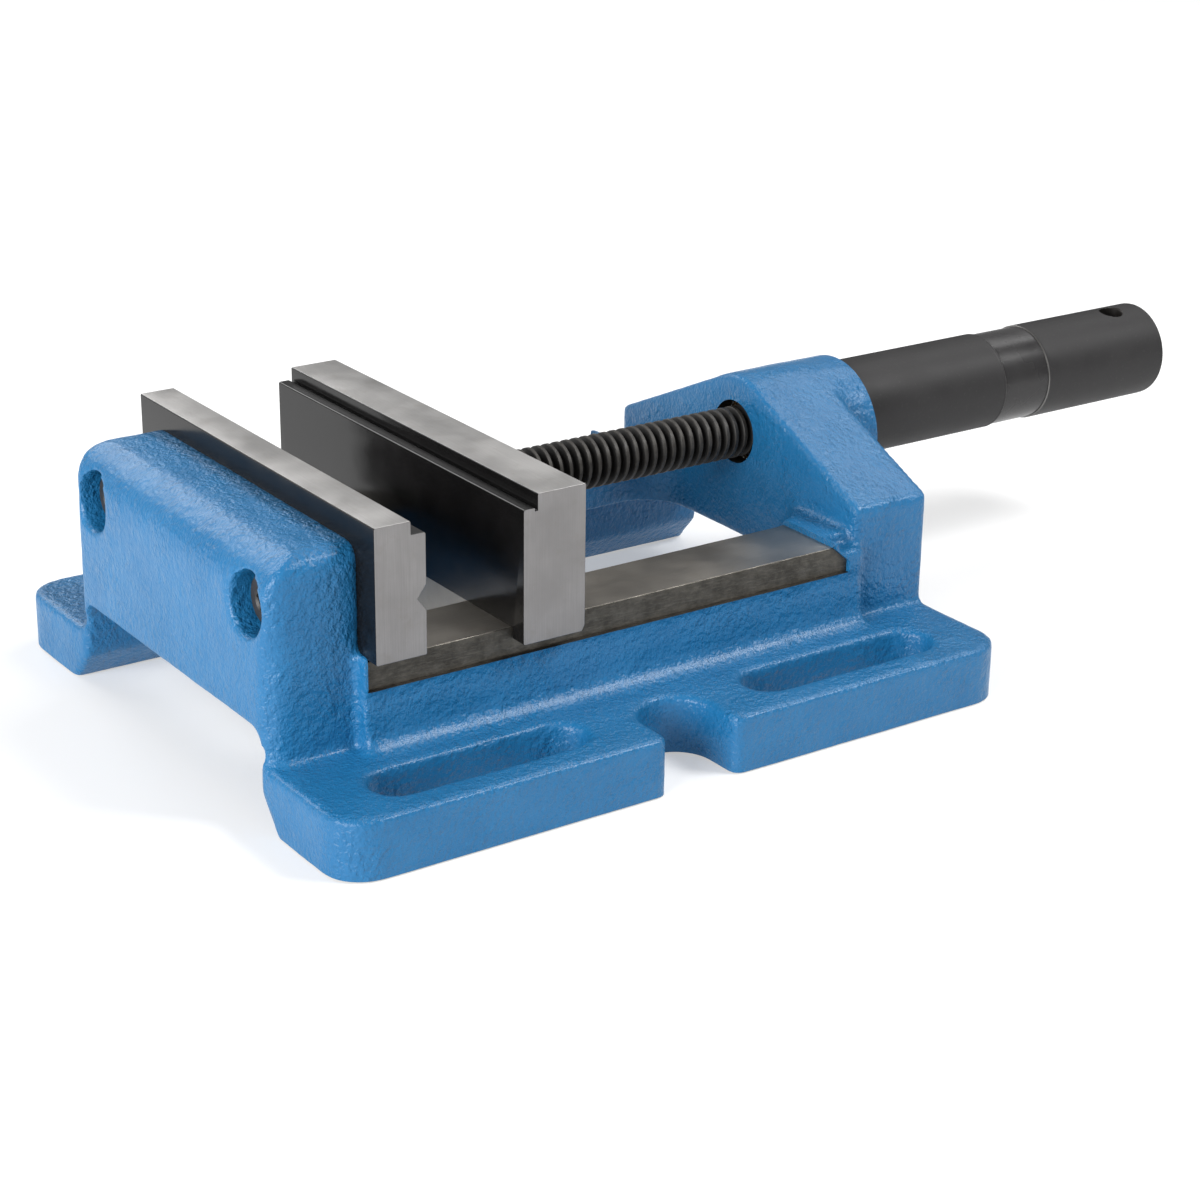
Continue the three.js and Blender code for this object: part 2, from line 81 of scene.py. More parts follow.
# ---- the casting's driving dimensions ----
BASE_LENGTH = 196.5
BASE_HALF = BODY_HIGH.y
FLANGE_TOP = 15
FLANGE_CORNER = 10
NOTCH_EDGE = 2.5
PAINT_DEPTH = 0.15
STOCK = 1.4
WAY_HEIGHT = 37.3
WAY_HALF = 54.7
WAY_END = 163.5
WAY_EDGE = 0.15
STRIP_BOTTOM = 30
STRIP_END = 168.3
STRIP_STEP = 3
WEB_FOOT = WAY_HALF + 1.8
WEB_TOP = WAY_HALF + 0.8
RAIL_INNER = 34.5
LEDGE_HEIGHT = 23.1
LEG_INNER = 47.7
LEG_BOTTOM = 8.2
FOOT_INNER = 54.3
BLOCK_FRONT = PLATE_LOW.x
BLOCK_REAR = 1.2
BLOCK_END = 0.4
BLOCK_TOP = 65.5
BLOCK_CURVE = 12
BLOCK_EDGE = 5
BLOCK_REAR_CORNER = 6
BLOCK_FRONT_CORNER = 3
BODY_HALF = 52
BRIDGE_HALF = 53
BRIDGE_FRONT = 172.3
BRIDGE_CORNER = 12
SHOULDER_HEIGHT = 45.2
SHOULDER_RADIUS = 1
RIDGE_HEIGHT = 68.6
RIDGE_RADIUS = 14
BOSS_RADIUS = 20
BOSS_CENTRE_Z = 47.9
BOSS_END = BODY_HIGH.x
SLOT_CENTRES = (45, 152)
SLOT_OFFSET = 72
SLOT_HALF = 22
SLOT_RADIUS = 7
NOTCH_CENTRE = 98.5
NOTCH_RADIUS = 10
NOTCH_DEPTH = 20.5
PLATE_SCREW_OFFSET = 41
COUNTERBORE_RADIUS = 8
COUNTERBORE_DEPTH = 16
PLATE_SCREW_HOLE = 4.5
BORE_RADIUS = 8.8
CAVITY_START = 177
CAVITY_RADIUS = 13.8
GLAND_BORE = 11.75
LOCK_SCREW_PLACE = 201.5
LOCK_SCREW_RADIUS = 2.9

# ---- how far the cast skin is softened, and how uneven it is ----
VOXEL = 0.9
SOFTENING = 10
BROAD_HEIGHT, BROAD_SIZE = 0.09, 9
FINE_HEIGHT, FINE_SIZE = 0.05, 3.1


# ---- outlines and solids ----
def rounded(points, steps=8):
    """A closed outline whose corners are rounded: each point is (u, v) or (u, v, radius)."""
    outline = []
    for i, (u, v, *rest) in enumerate(points):
        radius = rest[0] if rest else 0
        corner = Vector((u, v))
        before = (Vector(points[i - 1][:2]) - corner).normalized()
        after = (Vector(points[(i + 1) % len(points)][:2]) - corner).normalized()
        if radius == 0:
            outline.append(tuple(corner))
            continue
        half = before.angle(after) / 2
        middle = corner + (before + after).normalized() * (radius / math.sin(half))
        start = corner + before * (radius / math.tan(half)) - middle
        end = corner + after * (radius / math.tan(half)) - middle
        turn = start.angle_signed(end)
        for k in range(steps + 1):
            spoke = Matrix.Rotation(-turn * k / steps, 2) @ start
            outline.append(tuple(middle + spoke))
    return outline


def mesh_object(name, vertices, faces, finish=0):
    mesh = bpy.data.meshes.new(name)
    mesh.from_pydata(vertices, [], faces)
    work = bmesh.new()
    work.from_mesh(mesh)
    bmesh.ops.remove_doubles(work, verts=work.verts, dist=1e-5)
    bmesh.ops.recalc_face_normals(work, faces=work.faces)
    work.to_mesh(mesh)
    work.free()
    mesh.polygons.foreach_set("material_index", [finish] * len(mesh.polygons))
    obj = bpy.data.objects.new(name, mesh)
    bpy.context.scene.collection.objects.link(obj)
    return obj


SWEEPS = {
    "x": lambda u, v, w: (w, u, v),
    "y": lambda u, v, w: (u, w, v),
    "z": lambda u, v, w: (u, v, w),
}


def prism(axis, outline, low, high, finish=0):
    """A closed prism: along x the outline is (y, z), along y it is (x, z), along z it is (x, y)."""
    count = len(outline)
    sweep = SWEEPS[axis]
    vertices = [sweep(u, v, w) for w in (low, high) for u, v in outline]
    faces = [list(range(count)), list(range(count, 2 * count))]
    for i in range(count):
        following = (i + 1) % count
        faces.append([i, following, count + following, count + i])
    return mesh_object("prism", vertices, faces, finish)


def box(low, high, finish=0):
    outline = [(low[0], low[1]), (high[0], low[1]), (high[0], high[1]), (low[0], high[1])]
    return prism("z", outline, low[2], high[2], finish)


def upright(x, y):
    """The matrix that stands a body turned about x up at (x, y)."""
    return Matrix.Translation((x, y, 0)) @ Matrix.Rotation(-math.pi / 2, 4, "Y")


def level(y=0, z=AXIS_Z):
    return Matrix.Translation((0, y, z))


def turned(profile, place, sides=96, ring=False, finish=0, relief=None):
    """A body turned about x, from a profile of (x, radius), then set in place.

    It starts and ends on the axis, or closes into a ring. relief gives the radius at (row, side).
    """
    vertices = []
    rows = []
    for row, (x, radius) in enumerate(profile):
        if radius < 1e-9:
            rows.append([len(vertices)] * sides)
            vertices.append((x, 0, 0))
            continue
        rows.append(list(range(len(vertices), len(vertices) + sides)))
        for side in range(sides):
            angle = 2 * math.pi * side / sides
            reach = radius if relief is None else relief(row, side, radius)
            vertices.append((x, reach * math.cos(angle), reach * math.sin(angle)))
    faces = []
    pairs = list(zip(rows, rows[1:]))
    if ring:
        pairs.append((rows[-1], rows[0]))
    for lower, upper in pairs:
        for side in range(sides):
            following = (side + 1) % sides
            corners = [lower[side], lower[following], upper[following], upper[side]]
            faces.append(list(dict.fromkeys(corners)))
    return mesh_object("turned", [place @ Vector(v) for v in vertices], faces, finish)


def rod(place, start, end, radius, chamfer=0, sides=64, finish=0):
    profile = [(start, 0), (start, radius - chamfer)]
    if chamfer:
        profile += [(start + chamfer, radius), (end - chamfer, radius)]
    profile += [(end, radius - chamfer), (end, 0)]
    return turned(profile, place, sides, finish=finish)


def settle(obj):
    """Applies the object's modifiers."""
    graph = bpy.context.evaluated_depsgraph_get()
    old = obj.data
    result = bpy.data.meshes.new_from_object(obj.evaluated_get(graph), depsgraph=graph)
    obj.modifiers.clear()
    obj.data = result
    bpy.data.meshes.remove(old)
    return obj


def combine(obj, operation, tools):
    """Joins the tools to the object, cuts them from it, or keeps what lies in them."""
    for tool in tools:
        modifier = obj.modifiers.new("combine", "BOOLEAN")
        modifier.solver = "MANIFOLD"
        modifier.operation = operation
        modifier.object = tool
    settle(obj)
    for tool in tools:
        mesh = tool.data
        bpy.data.objects.remove(tool)
        bpy.data.meshes.remove(mesh)
    return obj


def joined(first, *others):
    return combine(first, "UNION", others)


def cut(obj, *tools):
    return combine(obj, "DIFFERENCE", tools)


def bevelled(obj, width, angle=40):
    modifier = obj.modifiers.new("bevel", "BEVEL")
    modifier.width = width
    modifier.segments = 2
    modifier.limit_method = "ANGLE"
    modifier.angle_limit = math.radians(angle)
    modifier.harden_normals = False
    return settle(obj)


def add_slots(obj, materials):
    """Gives a solid its material slots, so that the faces of a cut keep their finish."""
    for material in materials:
        obj.data.materials.append(material)


def finished(obj, name, body, materials, replaces=None, sharp=30):
    """Sets a solid into the frame as a piece of the object."""
    obj.name = name
    obj.data.name = name
    obj.data.transform(Matrix.Translation((ORIGIN_X, 0, 0)) @ Matrix.Scale(MM, 4))
    obj.data.polygons.foreach_set("use_smooth", [True] * len(obj.data.polygons))
    obj.data.set_sharp_from_angle(angle=math.radians(sharp))
    indices = np.zeros(len(obj.data.polygons), np.int32)
    obj.data.polygons.foreach_get("material_index", indices)
    obj.data.materials.clear()
    add_slots(obj, materials)
    obj.data.polygons.foreach_set("material_index", indices)
    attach(obj, body)
    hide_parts(replaces or name)
    return obj


# ---- material nodes ----
class Shader:
    """A Principled material, with short ways to add nodes to it. Vectors are in millimetres."""

    def __init__(self, name, **values):
        self.material = bpy.data.materials.new(name)
        self.material.use_nodes = True
        self.tree = self.material.node_tree
        self.surface = self.tree.nodes["Principled BSDF"]
        self.set(self.surface, values)
        coordinates = self.tree.nodes.new("ShaderNodeTexCoord")
        self.place = self.scaled(coordinates.outputs["Object"], (1 / MM,) * 3)

    def set_socket(self, socket, value):
        if isinstance(value, bpy.types.NodeSocket):
            self.tree.links.new(value, socket)
        elif socket.type == "RGBA" and len(value) == 3:
            socket.default_value = (*value, 1)
        else:
            socket.default_value = value

    def set(self, node, values):
        """Sets inputs by number or by name, with _ for each space in a name."""
        for key, value in values.items():
            place = key.replace("_", " ") if isinstance(key, str) else key
            self.set_socket(node.inputs[place], value)

    def add(self, kind, values=None, **settings):
        node = self.tree.nodes.new("ShaderNode" + kind)
        for key, value in settings.items():
            setattr(node, key, value)
        self.set(node, values or {})
        return node

    def scaled(self, vector, scale):
        return self.add("VectorMath", {0: vector, 1: scale}, operation="MULTIPLY").outputs[0]

    def noise(self, size, stretch=(1, 1, 1), detail=3, roughness=0.5):
        """Noise whose features are about size millimetres across, longer where stretch is above 1."""
        vector = self.scaled(self.place, tuple(1 / (size * s) for s in stretch))
        values = {"Vector": vector, "Scale": 1.0, "Detail": detail, "Roughness": roughness}
        return self.add("TexNoise", values).outputs["Fac"]

    def remap(self, value, low, high, to_low=0.0, to_high=1.0):
        node = self.add("MapRange", {0: value, 1: low, 2: high, 3: to_low, 4: to_high})
        return node.outputs[0]

    def math(self, operation, first, second):
        return self.add("Math", {0: first, 1: second}, operation=operation).outputs[0]

    def mix(self, factor, first, second):
        node = self.add("Mix", data_type="RGBA")
        for index, value in ((0, factor), (6, first), (7, second)):
            self.set_socket(node.inputs[index], value)
        return node.outputs[2]

    def bump(self, height, depth, normal=None):
        """Bump that is depth millimetres high between heights 0 and 1."""
        values = {"Height": height, "Distance": depth * MM, "Strength": 1.0}
        if normal is not None:
            values["Normal"] = normal
        return self.add("Bump", values).outputs["Normal"]

    def finish(self, **values):
        self.set(self.surface, values)
        return self.material


# ---- the casting, whose faces are painted, ground, milled, bored or turned ----
# DARK is a near-black finish for bores and holes: painted shade for their insides.
PAINT, WAY, STRIP, DARK, BARE = range(5)


def flange():
    """The foot plate's outline: rounded corners and a round-bottomed notch in each side."""
    left = NOTCH_CENTRE - NOTCH_RADIUS
    right = NOTCH_CENTRE + NOTCH_RADIUS
    half = BASE_HALF - PAINT_DEPTH
    depth = BASE_HALF - NOTCH_DEPTH
    far = [
        (right, half, NOTCH_EDGE),
        (right, depth, NOTCH_RADIUS - 0.01),
        (left, depth, NOTCH_RADIUS - 0.01),
        (left, half, NOTCH_EDGE),
        (PAINT_DEPTH, half, FLANGE_CORNER),
    ]
    near = [(x, -y, radius) for x, y, radius in reversed(far)]
    far_end = [(BASE_LENGTH, half, FLANGE_CORNER)]
    near_end = [(BASE_LENGTH, -half, FLANGE_CORNER)]
    foot = prism("z", rounded(far_end + far + near + near_end, 12), -3, FLANGE_TOP)
    slots = [slot(x, side * SLOT_OFFSET) for x in SLOT_CENTRES for side in (-1, 1)]
    return cut(foot, *slots)


def slot(x, y):
    """A cutter for one bolt slot, whose ends are round."""
    reach = SLOT_HALF + SLOT_RADIUS
    outline = rounded(
        [
            (x - reach, y - SLOT_RADIUS, SLOT_RADIUS - 0.01),
            (x + reach, y - SLOT_RADIUS, SLOT_RADIUS - 0.01),
            (x + reach, y + SLOT_RADIUS, SLOT_RADIUS - 0.01),
            (x - reach, y + SLOT_RADIUS, SLOT_RADIUS - 0.01),
        ]
    )
    return prism("z", outline, -5, FLANGE_TOP + 5)


def rails():
    """Both rails and their webs, with stock left on where they are machined."""
    pad = WAY_HALF + STOCK
    fillet = 3
    half = [
        (WEB_FOOT + fillet, FLANGE_TOP - 4),
        (WEB_FOOT + fillet, FLANGE_TOP),
        (WEB_FOOT, FLANGE_TOP + fillet),
        (WEB_TOP, STRIP_BOTTOM - 0.6),
        (pad, STRIP_BOTTOM + 0.4),
        (pad, WAY_HEIGHT + 1.6),
    ]
    outline = half[::-1] + [(-y, z) for y, z in half]
    bar = prism("x", outline, BLOCK_FRONT - 1, BRIDGE_FRONT + 1)
    corner = 3.5
    plan = rounded(
        [
            (BLOCK_FRONT - 1, -BASE_HALF, corner),
            (BRIDGE_FRONT + 1.5, -BASE_HALF, corner),
            (BRIDGE_FRONT + 1.5, BASE_HALF, corner),
            (BLOCK_FRONT - 1, BASE_HALF, corner),
        ]
    )
    return combine(bar, "INTERSECT", [prism("z", plan, 0, BLOCK_TOP)])


def jaw_block():
    """The block behind the fixed jaw: what its outlines from behind, from the side and from above share."""
    foot = FLANGE_TOP - 5
    front = BLOCK_FRONT + STOCK
    behind = rounded(
        [
            (-BODY_HALF, foot),
            (BODY_HALF, foot),
            (BODY_HALF, BLOCK_TOP, BLOCK_EDGE),
            (-BODY_HALF, BLOCK_TOP, BLOCK_EDGE),
        ]
    )
    profile = rounded(
        [
            (BLOCK_END, foot),
            (front, foot),
            (front, BLOCK_TOP),
            (BLOCK_REAR, BLOCK_TOP, BLOCK_CURVE),
        ],
        12,
    )
    plan = rounded(
        [
            (BLOCK_END, -BODY_HALF, BLOCK_REAR_CORNER),
            (front, -BODY_HALF, BLOCK_FRONT_CORNER),
            (front, BODY_HALF, BLOCK_FRONT_CORNER),
            (BLOCK_END, BODY_HALF, BLOCK_REAR_CORNER),
        ]
    )
    block = prism("x", behind, 0, front)
    combine(block, "INTERSECT", [prism("y", profile, -BODY_HALF, BODY_HALF)])
    return combine(block, "INTERSECT", [prism("z", plan, foot, BLOCK_TOP)])


def bridge():
    """The gabled bridge, the ramps where the machined rails stop, and the boss."""
    foot = FLANGE_TOP - 5
    peak = RIDGE_HEIGHT + 1
    gable = prism(
        "x",
        rounded(
            [
                (-BRIDGE_HALF, foot),
                (BRIDGE_HALF, foot),
                (BRIDGE_HALF, SHOULDER_HEIGHT, SHOULDER_RADIUS),
                (0, peak, RIDGE_RADIUS),
                (-BRIDGE_HALF, SHOULDER_HEIGHT, SHOULDER_RADIUS),
            ]
        ),
        BRIDGE_FRONT,
        BASE_LENGTH,
    )
    ramp = prism(
        "y",
        [
            (WAY_END - 1.5, foot),
            (BRIDGE_FRONT + 1, foot),
            (BRIDGE_FRONT + 1, WAY_HEIGHT + 2),
            (WAY_END + 0.6, WAY_HEIGHT + 1.5),
            (WAY_END - 0.8, WAY_HEIGHT + 1),
        ],
        -BODY_HALF + 2.5,
        BODY_HALF - 2.5,
    )
    boss = rod(level(z=BOSS_CENTRE_Z), BRIDGE_FRONT + 2, BOSS_END + 2, BOSS_RADIUS)
    return joined(gable, ramp, boss)


def channel():
    """The open channel under the casting, wider between the feet than under the rails."""
    below = 3
    fillet = 4.5
    outline = rounded(
        [
            (-FOOT_INNER - below, -below),
            (FOOT_INNER + below, -below),
            (LEG_INNER, LEG_BOTTOM),
            (LEG_INNER, LEDGE_HEIGHT, fillet),
            (-LEG_INNER, LEDGE_HEIGHT, fillet),
            (-LEG_INNER, LEG_BOTTOM),
        ]
    )
    return prism("x", outline, -5, BASE_LENGTH + 5)


def gap():
    """The gap between the rails, cast with round corners and open to the channel."""
    rear = BLOCK_FRONT + 0.2
    plan = rounded(
        [
            (rear, -RAIL_INNER, 5),
            (BRIDGE_FRONT, -RAIL_INNER, BRIDGE_CORNER),
            (BRIDGE_FRONT, RAIL_INNER, BRIDGE_CORNER),
            (rear, RAIL_INNER, 5),
        ]
    )
    return prism("z", plan, 0, WAY_HEIGHT + 8)


def rail_ends():
    """Cutters that end the rails' upper corners in front of the bridge."""
    ends = []
    for side in (-1, 1):
        near, far = sorted((side * (BODY_HALF - 2), side * BASE_HALF))
        ends.append(box((WAY_END + 1.5, near, WAY_HEIGHT - 1.5), (BASE_LENGTH, far, BLOCK_TOP)))
    return ends


def counterbores():
    """Holes from the casting's rear for the cap screws. The paint's rounding opens their mouths."""
    raw = COUNTERBORE_RADIUS - 0.4
    return [rod(level(side * PLATE_SCREW_OFFSET), -2, COUNTERBORE_DEPTH, raw) for side in (-1, 1)]


def unevenness(point):
    """How far the cast skin stands out at a point."""
    apart = Vector((40, 0, 0))
    broad = BROAD_HEIGHT * noise.noise(point / BROAD_SIZE)
    return broad + FINE_HEIGHT * noise.noise(point / FINE_SIZE + apart)


def soften(obj):
    """Rounds every edge and corner, as sand and paint do, then gives the faces their slight unevenness."""
    remesh = obj.modifiers.new("remesh", "REMESH")
    remesh.mode = "VOXEL"
    remesh.voxel_size = VOXEL
    smooth = obj.modifiers.new("smooth", "SMOOTH")
    smooth.factor = 0.5
    smooth.iterations = SOFTENING
    settle(obj)
    mesh = obj.data
    places = np.zeros(len(mesh.vertices) * 3, np.float32)
    normals = np.zeros(len(mesh.vertices) * 3, np.float32)
    mesh.vertices.foreach_get("co", places)
    mesh.vertex_normals.foreach_get("vector", normals)
    places = places.reshape(-1, 3)
    places += normals.reshape(-1, 3) * np.array([[unevenness(Vector(p))] for p in places], np.float32)
    mesh.vertices.foreach_set("co", places.ravel())
    mesh.update()
    return obj


def strip_cutters(above):
    """The cuts outside each rail: its milled strip, and the small chamfer along the way's edge."""
    strips = []
    for side in (-1, 1):
        outline = [
            (BLOCK_FRONT, STRIP_BOTTOM),
            (STRIP_END, STRIP_BOTTOM),
            (STRIP_END, STRIP_BOTTOM + STRIP_STEP),
            (WAY_END, WAY_HEIGHT),
            (WAY_END, above),
            (BLOCK_FRONT, above),
        ]
        near, far = sorted((side * WAY_HALF, side * BASE_HALF))
        strips.append(prism("y", outline, near, far, STRIP))
        corner = [
            (side * (WAY_HALF - WAY_EDGE), WAY_HEIGHT + 0.01),
            (side * (WAY_HALF + 0.01), WAY_HEIGHT - WAY_EDGE),
            (side * (WAY_HALF + 1), WAY_HEIGHT + 1),
        ]
        strips.append(prism("x", corner, BLOCK_FRONT, WAY_END + 0.4, STRIP))
    return strips


def machine(casting):
    """The cuts that leave bare iron: ways, strips, jaw seat, bores, boss end and underside. The bores and
    holes are given the near-black DARK finish: painted shade inside them.
    """
    reach = BASE_HALF
    above = BLOCK_TOP + 20
    way_top = box((BLOCK_FRONT, -reach, WAY_HEIGHT), (WAY_END, reach, above), WAY)
    bore = turned(
        [
            (WAY_END, 0),
            (WAY_END, BORE_RADIUS),
            (CAVITY_START, BORE_RADIUS),
            (CAVITY_START, CAVITY_RADIUS),
            (BOSS_END - 0.6, CAVITY_RADIUS),
            (BOSS_END + 0.4, CAVITY_RADIUS + 1),
            (BOSS_END + 5, CAVITY_RADIUS + 1),
            (BOSS_END + 5, 0),
        ],
        level(),
        finish=DARK,
    )
    boss_end = box((BOSS_END, -reach, 0.5), (BOSS_END + 9, reach, above), BARE)
    screw_holes = [
        rod(
            level(side * PLATE_SCREW_OFFSET),
            COUNTERBORE_DEPTH - 1,
            BLOCK_FRONT + 3,
            PLATE_SCREW_HOLE,
            finish=DARK,
        )
        for side in (-1, 1)
    ]
    lock_hole = rod(
        upright(LOCK_SCREW_PLACE, 0),
        20,
        AXIS_Z - CAVITY_RADIUS + 2,
        LOCK_SCREW_RADIUS + 0.3,
        finish=DARK,
    )
    underside = box((-reach, -2 * reach, -reach), (3 * reach, 2 * reach, 0), WAY)
    strips = strip_cutters(above)
    return cut(casting, way_top, *strips, boss_end, bore, *screw_holes, lock_hole, underside)


def vise_body(materials):
    """The casting as it is made: cast, softened, then machined. The cuts' end walls are painted again."""
    casting = joined(flange(), cut(rails(), *rail_ends()), jaw_block(), bridge())
    cut(casting, channel(), gap(), *counterbores())
    soften(casting)
    add_slots(casting, materials)
    machine(casting)
    for face in casting.data.polygons:
        if face.material_index in (WAY, STRIP) and face.normal.x < -0.5:
            face.material_index = PAINT
    return finished(
        casting, "cast_body", "base", materials,
        replaces="vise_body", sharp=35
    )


# ---- jaws, whose faces are ground on top, black, or ground at the ends in a darker tone of painted shade ----
GROUND, BLACK, END = range(3)
JAW_BEVEL = 0.15
STEP_DEPTH = 3.9
STEP_HEIGHT = 3.4
GROOVE_Z = 52.5
GROOVE_DEPTH = 2.4
GROOVE_HALF = 3.2
LIP_DEPTH = 3
LIP_GAP = 0.5
PLATE_THREAD_HOLE = 4.2
KEEPER_SCREW_OFFSET = 18
KEEPER_SCREW_HOLE = 4.5
KEEPER_THREAD_HOLE = 4.2
DOWEL_OFFSET = 28
DOWEL_HOLE = 3.2
DOWEL_TOP = 46.5
DOWEL_BOTTOM = 26.5
LOCK_PIN_HOLE = 2.7
LOCK_PIN_TOP = 60.5
SPIGOT_HOLE = 6.2


def show_ground_ends(obj, half, top):
    """The ends and the top are ground bright; the other faces stay black. The ends are given a darker copy
    of the ground steel: painted shade.
    """
    for face in obj.data.polygons:
        on_end = abs(abs(face.center.y) - half) < 0.1 and abs(face.normal.y) > 0.9
        on_top = face.center.z > top - 0.1 and face.normal.z > 0.9
        face.material_index = END if on_end else GROUND if on_top else BLACK


def fixed_jaw_plate(materials):
    back, front = PLATE_LOW.x, PLATE_HIGH.x
    bottom, top = PLATE_LOW.z, PLATE_HIGH.z
    outline = rounded(
        [
            (back, bottom, 0.4),
            (front, bottom, 0.4),
            (front, GROOVE_Z - GROOVE_HALF),
            (front - GROOVE_DEPTH, GROOVE_Z),
            (front, GROOVE_Z + GROOVE_HALF),
            (front, top - STEP_HEIGHT, 0.5),
            (front - STEP_DEPTH, top - STEP_HEIGHT, 0.3),
            (front - STEP_DEPTH, top, 0.4),
            (back, top, 0.4),
        ],
        4,
    )
    plate = prism("y", outline, PLATE_LOW.y, PLATE_HIGH.y)
    bevelled(plate, JAW_BEVEL)
    show_ground_ends(plate, PLATE_HIGH.y, top)
    add_slots(plate, materials)
    holes = [
        rod(level(side * PLATE_SCREW_OFFSET), back - 1, back + 10, PLATE_THREAD_HOLE, finish=BLACK)
        for side in (-1, 1)
    ]
    cut(plate, *holes)
    return finished(
        plate, "fixed_jaw", "base", materials,
        replaces="fixed_jaw_plate", sharp=18
    )


def moving_jaw(materials):
    front, back = JAW_LOW.x, JAW_HIGH.x
    top = JAW_HIGH.z
    step = top - STEP_HEIGHT
    relief = 0.8
    outline = rounded(
        [
            (front, WAY_HEIGHT - LIP_DEPTH, 0.5),
            (back - 0.8, WAY_HEIGHT - LIP_DEPTH),
            (back, WAY_HEIGHT - LIP_DEPTH + 1.6),
            (back, top, 0.4),
            (front + STEP_DEPTH, top, 0.4),
            (front + STEP_DEPTH, step - relief),
            (front + STEP_DEPTH - relief, step - relief),
            (front + STEP_DEPTH - relief, step),
            (front, step, 0.5),
        ],
        4,
    )
    jaw = prism("y", outline, JAW_LOW.y, JAW_HIGH.y)
    bevelled(jaw, JAW_BEVEL)
    show_ground_ends(jaw, JAW_HIGH.y, top)
    add_slots(jaw, materials)
    inner = WAY_HALF + LIP_GAP
    seat = box((front - 1, -inner, 0), (back + 1, inner, WAY_HEIGHT), BLACK)
    spigot = rod(level(), SCREW_LOW.x - 0.3, back + 1, SPIGOT_HOLE, finish=BLACK)
    below = WAY_HEIGHT - 1
    depth = 13.5
    holes = []
    for side in (-1, 1):
        screw_place = upright(JAW_MIDDLE, side * KEEPER_SCREW_OFFSET)
        dowel_place = upright(JAW_MIDDLE, side * DOWEL_OFFSET)
        holes.append(rod(screw_place, below, WAY_HEIGHT + depth, KEEPER_THREAD_HOLE, finish=BLACK))
        holes.append(rod(dowel_place, below, DOWEL_TOP, DOWEL_HOLE, finish=BLACK))
    pin_hole = rod(upright(LOCK_PIN_X, 0), below, LOCK_PIN_TOP, LOCK_PIN_HOLE, finish=BLACK)
    cut(jaw, seat, spigot, pin_hole, *holes)
    return finished(
        jaw, "moving_jaw_plate", "jaw", materials,
        replaces="moving_jaw", sharp=18
    )


def guide_block(materials):
    """The block that runs between the rails, with round upright corners."""
    low, high = GUIDE_LOW, GUIDE_HIGH
    plan = rounded([(low.x, low.y, 2), (high.x, low.y, 3), (high.x, high.y, 3), (low.x, high.y, 2)])
    block = prism("z", plan, low.z, high.z)
    bevelled(block, 0.3, angle=50)
    add_slots(block, materials)
    holes = []
    for side in (-1, 1):
        screw_place = upright(JAW_MIDDLE, side * KEEPER_SCREW_OFFSET)
        dowel_place = upright(JAW_MIDDLE, side * DOWEL_OFFSET)
        holes.append(rod(screw_place, low.z - 1, high.z + 1, KEEPER_SCREW_HOLE))
        holes.append(rod(dowel_place, DOWEL_BOTTOM, high.z + 1, DOWEL_HOLE))
    cut(block, *holes)
    return finished(block, "guide", "jaw", materials, replaces="guide_block", sharp=18)


def keeper_plate(materials):
    """The plate that runs under the rails' ledges, with recesses for the heads of its screws."""
    low, high = KEEPER_LOW, KEEPER_HIGH
    chamfer = 2.2
    outline = [
        (low.y, low.z),
        (high.y, low.z),
        (high.y, high.z - chamfer),
        (high.y - chamfer, high.z),
        (low.y + chamfer, high.z),
        (low.y, high.z - chamfer),
    ]
    plate = prism("x", outline, low.x, high.x)
    bevelled(plate, 0.4)
    add_slots(plate, materials)
    recess = [(low.z - 1, 0), (low.z - 1, 8), (low.z + 0.5, 7), (low.z + 5, 7), (low.z + 5, 0)]
    holes = []
    for side in (-1, 1):
        screw_place = upright(JAW_MIDDLE, side * KEEPER_SCREW_OFFSET)
        holes.append(rod(screw_place, low.z - 1, high.z + 1, KEEPER_SCREW_HOLE))
        holes.append(turned(recess, screw_place))
    cut(plate, *holes)
    return finished(plate, "keeper", "jaw", materials, replaces="keeper_plate", sharp=18)


# ---- fasteners ----
HEAD_HEIGHT = 8


def cap_screw(place, start, end, materials, name, body):
    """A socket cap screw along the place's own x, its head first, with a grooved rim on the head."""
    head, shank, socket, depth = 6.5, 3.9, 3.46, 4
    flutes = 36
    neck = start + HEAD_HEIGHT

    def fluted(row, side, radius):
        return radius - (0.22 if row in (2, 3) and side % 3 == 0 else 0)

    profile = [
        (start, 0),
        (start, head - 0.8),
        (start + 0.8, head),
        (neck - 0.4, head),
        (neck, head - 0.4),
        (neck, shank),
        (end - 0.8, shank),
        (end, shank - 0.8),
        (end, 0),
    ]
    screw = turned(profile, place, sides=3 * flutes, relief=fluted)
    hexagon = turned(
        [(start - 1, 0), (start - 1, socket), (start + depth, socket), (start + depth + 1.2, 0)],
        place,
        sides=6,
    )
    mouth = turned(
        [(start - 1, 0), (start - 1, socket + 1.2), (start + 0.5, socket - 0.3), (start + 0.5, 0)],
        place,
        sides=48,
    )
    add_slots(screw, materials)
    cut(screw, hexagon, mouth)
    return finished(screw, name + "_detail", body, materials, replaces=name)


def ring(start, end, outer, inner, chamfer, materials, name, place):
    """A chamfered ring of bright steel. place is the body it rides on and where its axis lies."""
    body, axis = place
    profile = [
        (start, outer - chamfer),
        (start + chamfer, outer),
        (end - chamfer, outer),
        (end, outer - chamfer),
        (end, inner + chamfer),
        (end - chamfer, inner),
        (start + chamfer, inner),
        (start, inner + chamfer),
    ]
    obj = turned(profile, axis, ring=True)
    return finished(obj, name + "_detail", body, materials, replaces=name)


def pin(place, start, end, radius, materials, name, body):
    obj = rod(place, start, end, radius, chamfer=0.4)
    return finished(obj, name + "_detail", body, materials, replaces=name)


